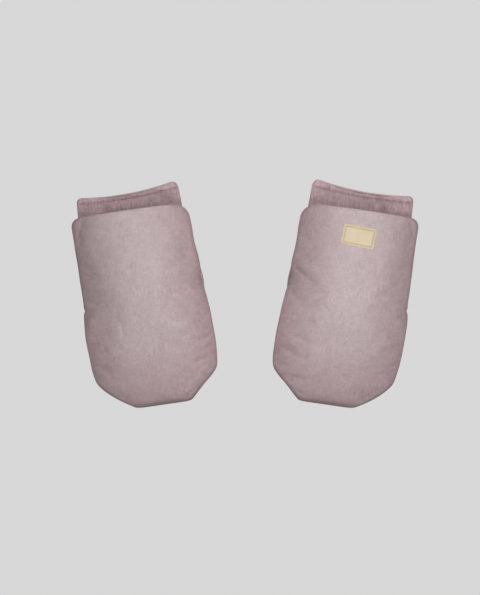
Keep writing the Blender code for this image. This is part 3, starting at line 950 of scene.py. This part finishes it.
def faux_leather():
    finish = Finish("faux leather", Specular_IOR_Level=0.45)
    place = finish.node("TexCoord", {}, {}, "Object")
    pebbles = finish.node("TexVoronoi", {"feature": "SMOOTH_F1"}, {"Vector": place, "Scale": 900}, "Distance")
    clouds = finish.grain(place, 110, 4)
    fibres = finish.grain(place, 3000, 2)
    share = 0.5 + 0.7 * (clouds - 0.5) + 0.35 * (pebbles - 0.4) + 0.3 * (fibres - 0.5)
    groove = finish.node("Attribute", {"attribute_name": "groove"}, {}, "Fac")
    # Painted shade in the border's pressed groove.
    colour = finish.tint((share - 0.55 * groove).held(), (0.555, 0.445, 0.290, 1), (0.735, 0.630, 0.465, 1))
    return finish.dress(colour, 0.58 + 0.12 * clouds, 0.7 * pebbles + 0.3 * fibres, 0.00022)


cover = surface_of(SHELLS["right", "front"])
bm = bmesh.new()
groove = bm.verts.layers.float.new("groove")
under = bmesh.ops.create_grid(bm, x_segments=LABEL_GRID[0], y_segments=LABEL_GRID[1], size=1)["verts"]
over = verts_of(bmesh.ops.extrude_face_region(bm, geom=bm.faces[:], use_keep_orig=True))
for verts, thickness in ((under, 0), (over, LABEL_THICKNESS)):
    for vert in verts:
        flat = rounded_in(vert.co.x * LABEL_WIDTH / 2, vert.co.y * LABEL_HEIGHT / 2)
        edge = from_edge(flat)
        height = thickness * math.sqrt(1 - (1 - share_between(edge, *LABEL_EDGE)) ** 2)
        if thickness:
            # Marks the border groove for painted shade, as well as pressing it in.
            vert[groove] = hump(edge - BORDER_INSET, BORDER_REACH)
            height -= BORDER_PRESS * vert[groove]
        place, facing = seen_on(cover, on_cover(flat), -1)
        vert.co = place + facing * height
patch = piece("right_label_patch_leather", bm, Matrix(), faux_leather(), 1)
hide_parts("right_label_patch")
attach(patch, "right_front")

border = []
corner = LABEL_CORNER - BORDER_INSET / 2
half_width, half_height = (size / 2 - BORDER_INSET - corner for size in (LABEL_WIDTH, LABEL_HEIGHT))
for quarter, (right, upper) in enumerate(((1, 1), (-1, 1), (-1, -1), (1, -1), (1, 1))):
    middle = Vector((right * half_width, upper * half_height))
    for step in range(CORNER_STEPS + 1 if quarter < 4 else 1):
        turn = math.pi / 2 * (quarter + step / CORNER_STEPS)
        border.append(on_cover(middle + corner * Vector((math.cos(turn), math.sin(turn)))))
bm = sew(surface_of(patch), border, -1, BORDER_SPACING, BORDER_STITCH, BORDER_THREAD)
tan_thread = thread("tan thread", (0.40, 0.27, 0.13, 1), (0.54, 0.38, 0.20, 1))
border_row = piece("right_label_stitches", bm, Matrix(), tan_thread)
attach(border_row, "right_front")


# Press studs: satin nickel halves, sewn to the linings above the slots, where they close the panels on each
# other. The sockets are on the front panel and the balls on the back one.
def nickel():
    finish = Finish("nickel", Metallic=1.0, Anisotropic=0.2)
    place = finish.node("TexCoord", {}, {}, "Object")
    scratches = finish.grain(place, 1800, 3, (1, 0.2, 1))
    smudges = finish.grain(place, 240, 2)
    colour = finish.tint(smudges, (0.50, 0.48, 0.45, 1), (0.66, 0.64, 0.61, 1))
    return finish.dress(colour, 0.24 + 0.16 * scratches, scratches, 0.00004)


NICKEL = nickel()
for name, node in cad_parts.items():
    if "_stud_" in name:
        node.data.materials.clear()
        node.data.materials.append(NICKEL)


# Studio: a pale round sweep about the hanging muffs, one broad light above them, a soft fill below and one
# from behind. The sweep lights nothing and casts no shadow.
CAMERA_AWAY = 2.6
VIEW_HEIGHT = 0.684
VIEW_CENTRE = (-0.00575, 0.0247)
SENSOR = 0.036
camera_data = bpy.data.cameras.new("camera")
camera_data.sensor_width = 1000 * SENSOR
camera_data.lens = 1000 * SENSOR * CAMERA_AWAY / VIEW_HEIGHT
camera = bpy.data.objects.new("camera", camera_data)
camera.location = (VIEW_CENTRE[0], -CAMERA_AWAY, VIEW_CENTRE[1])
camera.rotation_euler = (math.pi / 2, 0, 0)
bpy.context.scene.collection.objects.link(camera)
bpy.context.scene.camera = camera


def soft_light(name, place, size, power):
    data = bpy.data.lights.new(name, "AREA")
    data.size = size
    data.energy = power
    light = bpy.data.objects.new(name, data)
    light.location = place
    light.rotation_euler = Vector(place).to_track_quat("Z", "Y").to_euler()
    light.visible_camera = False
    bpy.context.scene.collection.objects.link(light)


soft_light("key", (0.14, -0.80, 0.32), 0.5, 3.9)
soft_light("fill", (0.1, -1.2, -0.4), 0.9, 4.2)
soft_light("back", (-0.4, 2.0, 1.1), 1.2, 20)

world = bpy.data.worlds.new("studio")
world.use_nodes = True
world.node_tree.nodes["Background"].inputs["Color"].default_value = (0.96, 0.96, 0.97, 1)
world.node_tree.nodes["Background"].inputs["Strength"].default_value = 0.34
bpy.context.scene.world = world
bpy.context.scene.view_settings.view_transform = "Standard"

FLOOR = -3.2
SWEEP_RADIUS = 4.5
SWEEP_HEIGHT = 6
COVE_RADIUS = 1.5
COVE_STEPS = 8
bm = bmesh.new()
points = [bm.verts.new((0, 0, FLOOR))]
for step in range(COVE_STEPS + 1):
    turn = math.pi / 2 * step / COVE_STEPS
    out = SWEEP_RADIUS - COVE_RADIUS * (1 - math.sin(turn))
    points.append(bm.verts.new((out, 0, FLOOR + COVE_RADIUS * (1 - math.cos(turn)))))
points.append(bm.verts.new((SWEEP_RADIUS, 0, SWEEP_HEIGHT)))
points.append(bm.verts.new((0, 0, SWEEP_HEIGHT)))
edges = [bm.edges.new(pair) for pair in zip(points, points[1:])]
bmesh.ops.spin(
    bm, geom=points + edges, cent=(0, 0, 0), axis=(0, 0, 1), angle=math.tau, steps=48, use_merge=True
)
bmesh.ops.remove_doubles(bm, verts=bm.verts, dist=0.0001)
paper = Finish("paper", Emission_Color=(1, 1, 1, 1), Emission_Strength=0.674)
speck = paper.grain(paper.node("TexCoord", {}, {}, "Object"), 3, 2)
grey = paper.tint(speck, (0.010, 0.010, 0.010, 1), (0.014, 0.014, 0.014, 1))
paper.dress(grey, 0.9 + 0.05 * speck, speck, 0.0001)
sweep = piece("sweep", bm, Matrix(), paper.material)
sweep.visible_diffuse = sweep.visible_glossy = sweep.visible_shadow = False


# Bending: each front panel opens about the bottom seam, where its cloth folds over from the sewn lower end.
# One edge of the gusset goes with it and the other stays. Places are up and height off the parting plane.
PANEL_FOLD = ((0, 0.0068), (0.0354, 0.0422))
GUSSET_FOLD = ((0.0031, 0.0037), (0.0072, 0.0202))
for muff in SIDES:
    bodies = f"{muff}_back", f"{muff}_front"
    panel_fold, gusset_fold = (
        [in_pair(muff) @ Vector((0, -height, up)) for up, height in fold]
        for fold in (PANEL_FOLD, GUSSET_FOLD)
    )
    for layer in ("batting", "lining_plush", "shell_nubuck"):
        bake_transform(bpy.data.objects[f"{muff}_front_{layer}"], *bodies, *panel_fold)
        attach(bpy.data.objects[f"{muff}_back_{layer}"], f"{muff}_back")
    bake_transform(bpy.data.objects[f"{muff}_bottom_gusset_nubuck"], *bodies, *gusset_fold)
